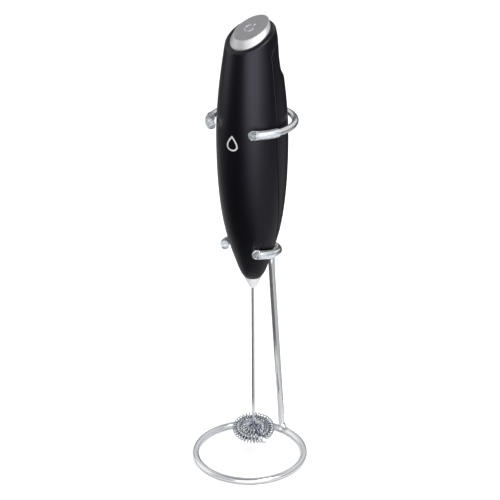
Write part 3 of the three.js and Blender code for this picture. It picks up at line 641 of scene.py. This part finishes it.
def sleeve_mesh(name, clip, side, material):
    """A soft sleeve with a round closed tip and a blind bore for the clip's wire."""
    tip, mouth = clip["tip"], clip["tip"] + clip["sleeve"]
    outer = arc(clip["radius"], tip, mouth)
    bore = arc(clip["radius"], tip + TIP_INSET - BORE_ROOM, mouth)
    turn = np.linspace(0, 2 * math.pi, 40, endpoint=False)
    place = clip_place(clip)

    def rings(path, radii):
        _, across, up = carried_frames(path)
        for i, r in enumerate(radii):
            yield path[i] + (np.cos(turn)[:, None] * across[i] + np.sin(turn)[:, None] * up[i]) * r

    tangent = unit(outer[0] - outer[1])
    _, across, up = carried_frames(outer)
    cap = [
        outer[0] + tangent * SLEEVE_R * math.sin(a)
        + (np.cos(turn)[:, None] * across[0] + np.sin(turn)[:, None] * up[0]) * SLEEVE_R * math.cos(a)
        for a in np.radians([82, 70, 55, 40, 25, 12])
    ]
    outer_r = np.full(len(outer), SLEEVE_R)
    outer_r[-1] -= SLEEVE_MOUTH_ROUND
    bore_r = np.full(len(bore), SLEEVE_BORE)
    bore_r[:2] = SLEEVE_BORE * 0.7, SLEEVE_BORE * 0.93  # the blind end is rounded
    skin = [*cap, *rings(outer, outer_r), *list(rings(bore, bore_r))[::-1]]
    flip = np.array([side, 1, 1])
    patches = Patches()
    patches.grid([place(ring * flip) for ring in skin], closed=True)
    patches.fan(place(skin[0] * flip), place([(outer[0] + tangent * SLEEVE_R) * flip])[0])
    patches.fan(place(skin[-1] * flip), place([skin[-1].mean(axis=0) * flip])[0])
    return mesh_object(name, patches.points, patches.faces, material, sharp=70)


WELDS = {
    "foot_weld": [(-0.9, 28.4, 1.9), (0.2, 28.2, 2.1), (1.3, 28.0, 2.6)],
    "upper_weld": [(0, 23.95, 182.9), (0, 23.95, 184.0), (0, 23.95, 185.1)],
    "lower_weld": [(0, 16.7, 117.3), (0, 17.3, 117.25), (0, 17.9, 117.2)],
}
WELD_R = {"foot_weld": 1.72, "upper_weld": 1.95, "lower_weld": 1.15}


def weld_mesh(name, material):
    """A small smooth bead where two wires are welded."""
    path = smooth_path(WELDS[name], 0.15)
    swell = 1 - 0.12 * np.cos(np.linspace(0, 2 * math.pi, len(path)))
    patches = Patches()
    tube(patches, path, WELD_R[name] * swell, 28, 0.5)
    return mesh_object(name, patches.points, patches.faces, material)


# ---------------------------------------------------------------- button spring


def button_spring_mesh(material):
    """The return spring under the button, with a nearly flat turn at each end."""
    low, high = (np.array(corner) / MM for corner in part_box("button_spring"))
    wire_r, turns = RETURN_SPRING["wire_r"], RETURN_SPRING["turns"]
    share = np.linspace(0, 1, turns * 28 + 1)
    turn = 2 * math.pi * turns * share
    r = (high[0] - low[0]) / 2 - wire_r - RETURN_SPRING["side_gap"]
    bottom = low[2] + wire_r + RETURN_SPRING["end_gap"]
    top = high[2] - wire_r - RETURN_SPRING["end_gap"]
    flat = RETURN_SPRING["end_rise"] * wire_r
    height = np.interp(share * turns, [0, 1, turns - 1, turns], [bottom, bottom + flat, top - flat, top])
    path = np.stack([r * np.cos(turn), AXIS_Y + r * np.sin(turn), height], 1)
    patches = Patches()
    tube(patches, path, wire_r, 12, 0.4)
    return mesh_object("button_return_spring", patches.points, patches.faces, material)


# ---------------------------------------------------------------- whisk


def tipped(points):
    """Moves points of the level whisk into its slightly tipped plane."""
    azimuth = math.radians(WHISK["azimuth"])
    hinge = Vector((math.cos(azimuth), math.sin(azimuth), 0))
    tip = np.array(Matrix.Rotation(math.radians(WHISK["tilt"]), 3, hinge))
    return np.asarray(points) @ tip.T + [0, AXIS_Y, WHISK["height"]]


def whisk_core_mesh(shaft_material, whisk_material):
    """One wire: the shaft, then an inner turn, then an outer turn that carry the two springs."""
    inner_r, outer_r = WHISK["inner_r"], WHISK["outer_r"]
    inner = arc(inner_r, 88, 416)
    outward = [(inner_r + 0.9, 422), ((inner_r + outer_r) / 2, 427), (outer_r - 0.7, 432)]
    step = [arc(r, a, a + 0.1)[0] for r, a in outward]
    outer = arc(outer_r, 438, 772)
    shaft = [(0, AXIS_Y, z) for z in (WHISK_WIRE_TOP, 90, 60, 35, 24, 18.4)]
    flat = [(1.03, -0.05, 0.8), (2.5, -0.13, 0.1), *inner[::3], *step, *outer[::4], outer[-1]]
    patches = Patches()
    tube(patches, smooth_path([*shaft, *tipped(flat)], 0.35), WHISK_WIRE_R - WHISK_TRIM, 20, 0.3)
    core = mesh_object("whisk_core", patches.points, patches.faces, shaft_material)
    core.data.materials.append(whisk_material)
    # faces below SHAFT_BOTTOM take the dark whisk colour, which is painted shade where the wire runs among
    # the coils
    for face in core.data.polygons:
        face.material_index = int(face.center.z < SHAFT_BOTTOM * MM)
    return core


def whisk_spring_mesh(name, material):
    """A spring wound round one of the whisk's turns."""
    coil = COILS[name]
    ring_r = WHISK[coil["ring"]]
    span = math.radians(coil["to"] - coil["from"])
    loops = round(span * ring_r / coil["pitch"])
    share = np.linspace(0, 1, loops * 20 + 1)
    angle = math.radians(coil["from"]) + span * share
    turn = 2 * math.pi * loops * share
    size = coil["radius"] + coil["flare"] * smooth_step(share, 1 - FLARED_LOOPS / loops, 1)
    r = ring_r + size * np.cos(turn)
    line = np.stack([r * np.sin(angle), -r * np.cos(angle), size * coil["tall"] * np.sin(turn)], 1)
    patches = Patches()
    tube(patches, tipped(line), COIL_WIRE_R, 8, 0.15)
    return mesh_object(name, patches.points, patches.faces, material, sharp=80)


# ---------------------------------------------------------------- materials

NOISE_RANGE = (0.3, 0.7)  # where nearly all of a noise's values lie
RELIEF = 0.05
BROAD_SCALE = 0.12  # how the broad noise that tints a surface compares with the fine one


def surface(name, colour, roughness, metallic=0.0, grain=0.6, tint=0.05, spread=0.05, bump=0.1,
            stretch=(1, 1, 1), **sockets):
    """A material with fine variation of colour, gloss and height. Grain is in millimetres."""
    made = bpy.data.materials.new(name)
    made.use_nodes = True
    nodes, links = made.node_tree.nodes, made.node_tree.links
    shader = nodes["Principled BSDF"]
    shader.inputs["Metallic"].default_value = metallic
    for socket, value in sockets.items():
        shader.inputs[socket.replace("_", " ")].default_value = value
    place = nodes.new("ShaderNodeTexCoord")
    mapping = nodes.new("ShaderNodeMapping")
    mapping.inputs["Scale"].default_value = stretch
    fine, broad = nodes.new("ShaderNodeTexNoise"), nodes.new("ShaderNodeTexNoise")
    fine.inputs["Scale"].default_value = 1 / (grain * MM)
    fine.inputs["Detail"].default_value = 4
    broad.inputs["Scale"].default_value = BROAD_SCALE / (grain * MM)
    links.new(place.outputs["Object"], mapping.inputs["Vector"])
    for noise in (fine, broad):
        links.new(mapping.outputs["Vector"], noise.inputs["Vector"])
    mix = nodes.new("ShaderNodeMix")
    mix.data_type = "RGBA"
    mix.inputs["A"].default_value = (*[c * (1 - tint) for c in colour], 1)
    mix.inputs["B"].default_value = (*[min(1, c * (1 + tint)) for c in colour], 1)
    links.new(broad.outputs["Fac"], mix.inputs["Factor"])
    links.new(mix.outputs["Result"], shader.inputs["Base Color"])
    gloss_and_relief(made.node_tree, fine.outputs["Fac"], (roughness - spread, roughness + spread), bump)
    return made


def gloss_and_relief(tree, noise, roughness_range, bump):
    """Roughness and bump that follow a noise."""
    shader = tree.nodes["Principled BSDF"]
    gloss = tree.nodes.new("ShaderNodeMapRange")
    gloss.inputs["From Min"].default_value, gloss.inputs["From Max"].default_value = NOISE_RANGE
    gloss.inputs["To Min"].default_value, gloss.inputs["To Max"].default_value = roughness_range
    tree.links.new(noise, gloss.inputs["Value"])
    tree.links.new(gloss.outputs["Result"], shader.inputs["Roughness"])
    relief = tree.nodes.new("ShaderNodeBump")
    relief.inputs["Strength"].default_value = bump
    relief.inputs["Distance"].default_value = RELIEF * MM
    tree.links.new(noise, relief.inputs["Height"])
    tree.links.new(relief.outputs["Normal"], shader.inputs["Normal"])


black = surface("soft_black", (0.001, 0.001, 0.002), 0.34, grain=0.35, tint=0.2, spread=0.04, bump=0.25,
                Specular_IOR_Level=0.38, Specular_Tint=(0.86, 0.82, 1, 1))
chrome = surface("chrome", (0.7, 0.71, 0.73), 0.15, 0.93, grain=0.8, tint=0.02, spread=0.04, bump=0.04)
vinyl = surface("clear_vinyl", (0.78, 0.81, 0.83), 0.08, grain=1.5, tint=0.03, spread=0.03, bump=0.05,
                Transmission_Weight=0.88, IOR=1.45)
bevel_silver = surface("bevel_silver", (0.52, 0.52, 0.535), 0.5, 0.88, grain=0.7, tint=0.1, spread=0.06,
                       bump=0.1, stretch=(1, 1, 0.06))
face_silver = surface("face_silver", (0.4, 0.4, 0.415), 0.42, 1, grain=0.5, tint=0.15, spread=0.08, bump=0.3)
icon_silver = surface("icon_silver", (0.52, 0.51, 0.56), 0.34, 0.7, grain=0.3, bump=0.05)
mark_grey = surface("mark_grey", (0.6, 0.6, 0.62), 0.4, 0.4, grain=0.3, tint=0.1, bump=0.1)
collar_silver = surface("collar_silver", (0.62, 0.62, 0.635), 0.4, 0.35, grain=0.5, tint=0.04, bump=0.08)
coil_steel = surface("coil_steel", (0.48, 0.5, 0.54), 0.1, 1, grain=0.4, tint=0.12, spread=0.08)
# whisk_steel is the shaft's steel painted much darker, as shade and dark reflection among the whisk's coils
whisk_steel = surface("whisk_steel", (0.17, 0.18, 0.215), 0.16, 1, grain=0.4, tint=0.12, spread=0.08)
shaft_steel = surface("shaft_steel", (0.66, 0.66, 0.69), 0.16, 0.95, grain=0.4, tint=0.08, spread=0.06,
                      bump=0.08)
brass = surface("brass", (0.78, 0.57, 0.27), 0.3, 1, grain=0.4)
spring_steel = surface("spring_steel", (0.6, 0.61, 0.63), 0.28, 1, grain=0.4)
inner_black = surface("inner_black", (0.045, 0.045, 0.048), 0.55, grain=0.5, tint=0.15, bump=0.3)
inner_white = surface("inner_white", (0.8, 0.79, 0.75), 0.5, grain=0.6, bump=0.2)
ferrite = surface("ferrite", (0.09, 0.088, 0.085), 0.7, grain=0.5, tint=0.2, bump=0.5)
cell_wrap = surface("cell_wrap", (0.07, 0.15, 0.26), 0.35, 0.2, grain=1.2, tint=0.1)

# ---------------------------------------------------------------- pieces

pieces = [
    (front_housing_mesh(black), "frother", "handle_black", ["front_housing"]),
    (battery_cover_mesh(black), "frother", "handle_black", ["battery_cover"]),
    (handle_mark_mesh(mark_grey), "frother", "silver_trim", []),
    (nose_collar_mesh(collar_silver), "frother", "silver_trim", ["nose_collar"]),
    (button_cap_mesh(bevel_silver), "button", "silver_trim", ["button_cap"]),
    (button_face_mesh(face_silver), "button", "silver_trim", []),
    (power_icon_mesh(icon_silver), "button", "silver_trim", []),
    (stand_wire_mesh(chrome), "stand", "chrome_wire", ["stand_rod"]),
    (clip_mesh("upper_clip_wire", UPPER_CLIP, chrome), "stand", "chrome_wire", ["upper_clip"]),
    (clip_mesh("lower_clip_wire", LOWER_CLIP, chrome), "stand", "chrome_wire", ["lower_clip"]),
    *[(weld_mesh(name, chrome), "stand", "chrome_wire", []) for name in WELDS],
    (whisk_core_mesh(shaft_steel, whisk_steel), "rotor", "whisk_steel", ["whisk_wire"]),
    (whisk_spring_mesh("whisk_outer_spring", coil_steel), "rotor", "whisk_steel", ["whisk_coil"]),
    (whisk_spring_mesh("whisk_inner_spring", coil_steel), "rotor", "whisk_steel", ["whisk_inner_coil"]),
]
for level, clip in (("upper", UPPER_CLIP), ("lower", LOWER_CLIP)):
    for word, side in (("right", 1), ("left", -1)):
        sleeve = sleeve_mesh(f"{level}_vinyl_{word}", clip, side, vinyl)
        pieces.append((sleeve, "stand", "clear_sleeve", [f"{level}_sleeve_{word}"]))
for piece, body, slot, stands_for in pieces:
    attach(piece, body)
    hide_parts(*stands_for)

spring = button_spring_mesh(spring_steel)
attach(spring, "frother")
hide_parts("button_spring")
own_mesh(spring)

# The frame's own inner pieces stay, and get a finish each by the record's slot
SLOT_MATERIALS = {
    "brass": brass, "spring_steel": spring_steel, "inner_black": inner_black, "cell": cell_wrap,
    "inner_white": inner_white, "magnet": ferrite,
}
node_slots = {part["node"]: part["material_slot"] for part in frame["record"]["subparts"]}
for name, node in frame["nodes"].items():
    if not node.hide_render:
        node.data.materials.clear()
        node.data.materials.append(SLOT_MATERIALS[node_slots[name]])

# ---------------------------------------------------------------- floor, light and camera

FLOOR_REACH = 9000
REFLECTED_TABLE_R = 48  # the bright part of the table that polished pieces reflect
REFLECTED_TABLE_LIFT = 0.02


def disc_around(radius):
    """Points and faces of a level disc just above the table's top."""
    patches = Patches()
    centre = np.array([0, 0, REFLECTED_TABLE_LIFT])
    turn = np.linspace(0, 2 * math.pi, 64, endpoint=False)
    ring = np.stack([np.sin(turn), -np.cos(turn), np.zeros_like(turn)], 1)
    shares = (0.3, 0.6, 1)
    patches.grid([ring * radius * share + centre for share in shares], closed=True)
    patches.fan(ring * radius * shares[0] + centre, centre)
    return patches.points, patches.faces


def floor():
    """The table, which polished pieces reflect only near the stand."""
    patches = Patches()
    steps = np.linspace(-FLOOR_REACH, FLOOR_REACH, 13)
    patches.grid([[(x, y, 0) for x in steps] for y in steps])
    made = surface("pale_floor", (0.93, 0.93, 0.935), 0.6, grain=30, tint=0.005, bump=0.01)
    piece = mesh_object("floor", patches.points, patches.faces, made)
    piece.visible_glossy = False
    sheen = surface("table_sheen", (0.55, 0.55, 0.56), 0.6, grain=30, tint=0.005, bump=0.01)
    near = mesh_object("table_sheen", *disc_around(REFLECTED_TABLE_R), sheen)
    near.visible_camera = near.visible_diffuse = near.visible_shadow = near.visible_transmission = False


def direction(azimuth, elevation):
    """Unit vector at an azimuth from -Y rising towards +X, and an elevation."""
    a, e = math.radians(azimuth), math.radians(elevation)
    return Vector((math.sin(a) * math.cos(e), -math.cos(a) * math.cos(e), math.sin(e)))


# Each light stands towards an azimuth and elevation from the frother's middle. Lengths are in metres.
LIGHTS = {
    "top": {"towards": (40, 78), "distance": 0.9, "size": (1.2, 1.2), "power": 5, "mirrored": False},
    "right": {"towards": (80, 28), "distance": 0.9, "size": (0.5, 0.9), "power": 1.6, "mirrored": True},
    "key": {"towards": (78, 50), "distance": 0.8, "size": (0.3, 0.3), "power": 2, "mirrored": True},
    "wash": {"towards": (0, 90), "distance": 2, "size": (4, 4), "power": 44, "mirrored": False},
}
LIGHT_AIM = Vector((0, 0, 0.12))


def soft_light(name, towards, distance, size, power, mirrored):
    """A rectangular light. Polished pieces reflect it only if it is mirrored."""
    data = bpy.data.lights.new(name, "AREA")
    data.shape = "RECTANGLE"
    data.size, data.size_y = size
    data.energy = power
    lamp = bpy.data.objects.new(name, data)
    lamp.location = LIGHT_AIM + direction(*towards) * distance
    lamp.rotation_euler = (LIGHT_AIM - lamp.location).to_track_quat("-Z", "Y").to_euler()
    lamp.visible_glossy = mirrored
    bpy.context.scene.collection.objects.link(lamp)


# The studio's walls and ceiling are pale above the table's edge and dark below it, with soft bright patches:
# azimuth, elevation, the patch's half width as an angle, brightness
SKY_LEVEL = 0.8
LOW_LEVEL = 0.06
HORIZON = (2, 16)
PATCH_EDGE = (1.4, 0.6)  # shares of its half width between which a patch brightens
STUDIO_PATCHES = [
    (0, 90, 30, 0.22),
    (138, -42, 28, 0.55),
    (76, -32, 24, 0.6),
    (40, 6, 28, 2.9),
    (-118, -50, 30, 0.6),
    (-66, 12, 24, 1.3),
    (-144, 4, 22, 0.05),
]


def add_node(tree, kind, inputs=(), **settings):
    """A node with some of its inputs set or linked."""
    node = tree.nodes.new(kind)
    for name, value in settings.items():
        setattr(node, name, value)
    for socket, value in dict(inputs).items():
        if isinstance(value, bpy.types.NodeSocket):
            tree.links.new(value, node.inputs[socket])
        else:
            node.inputs[socket].default_value = value
    return node


def studio_world():
    world = bpy.data.worlds.new("studio")
    bpy.context.scene.world = world
    world.use_nodes = True
    tree = world.node_tree
    background = tree.nodes["Background"]
    background.inputs["Color"].default_value = (1, 1, 1, 1)
    place = add_node(tree, "ShaderNodeTexCoord").outputs["Generated"]

    def level(towards, start, end, low, high):
        """Brightness that changes softly with the angle from a direction."""
        dot = add_node(tree, "ShaderNodeVectorMath", {0: place, 1: towards}, operation="DOT_PRODUCT")
        limits = {"Value": dot.outputs["Value"], "From Min": start, "From Max": end}
        edge = add_node(tree, "ShaderNodeMapRange", limits, interpolation_type="SMOOTHSTEP")
        return add_node(tree, "ShaderNodeMix", {"Factor": edge.outputs["Result"], "A": low, "B": high})

    low, high = (math.sin(math.radians(a)) for a in HORIZON)
    last = level(Vector((0, 0, 1)), low, high, LOW_LEVEL, SKY_LEVEL).outputs["Result"]
    for azimuth, elevation, half_width, brightness in STUDIO_PATCHES:
        start, end = (math.cos(math.radians(half_width * share)) for share in PATCH_EDGE)
        last = level(direction(azimuth, elevation), start, end, last, brightness).outputs["Result"]
    tree.links.new(last, background.inputs["Strength"])


CAMERA = {
    "azimuth": 36.27, "yaw": -0.04, "pitch": 25.4, "roll": -0.28, "distance": 784.95, "height": 491.29,
    "lens": 126.26,
}


def camera():
    data = bpy.data.cameras.new("camera")
    data.lens = CAMERA["lens"]
    data.sensor_width = 36
    eye = bpy.data.objects.new("camera", data)
    bpy.context.scene.collection.objects.link(eye)
    ground = direction(CAMERA["azimuth"], 0) * CAMERA["distance"]
    place = Matrix.Translation((ground + Vector((0, 0, CAMERA["height"]))) * MM)
    back = direction(CAMERA["azimuth"] + CAMERA["yaw"], CAMERA["pitch"])
    right = Vector((0, 0, 1)).cross(back).normalized()
    axes = Matrix((right, back.cross(right), back)).transposed()
    roll = Matrix.Rotation(math.radians(CAMERA["roll"]), 3, "Z")
    eye.matrix_world = place @ (axes @ roll).to_4x4()
    bpy.context.scene.camera = eye


floor()
studio_world()
for light, settings in LIGHTS.items():
    soft_light(light, **settings)
camera()
bpy.context.scene.view_settings.view_transform = "Standard"
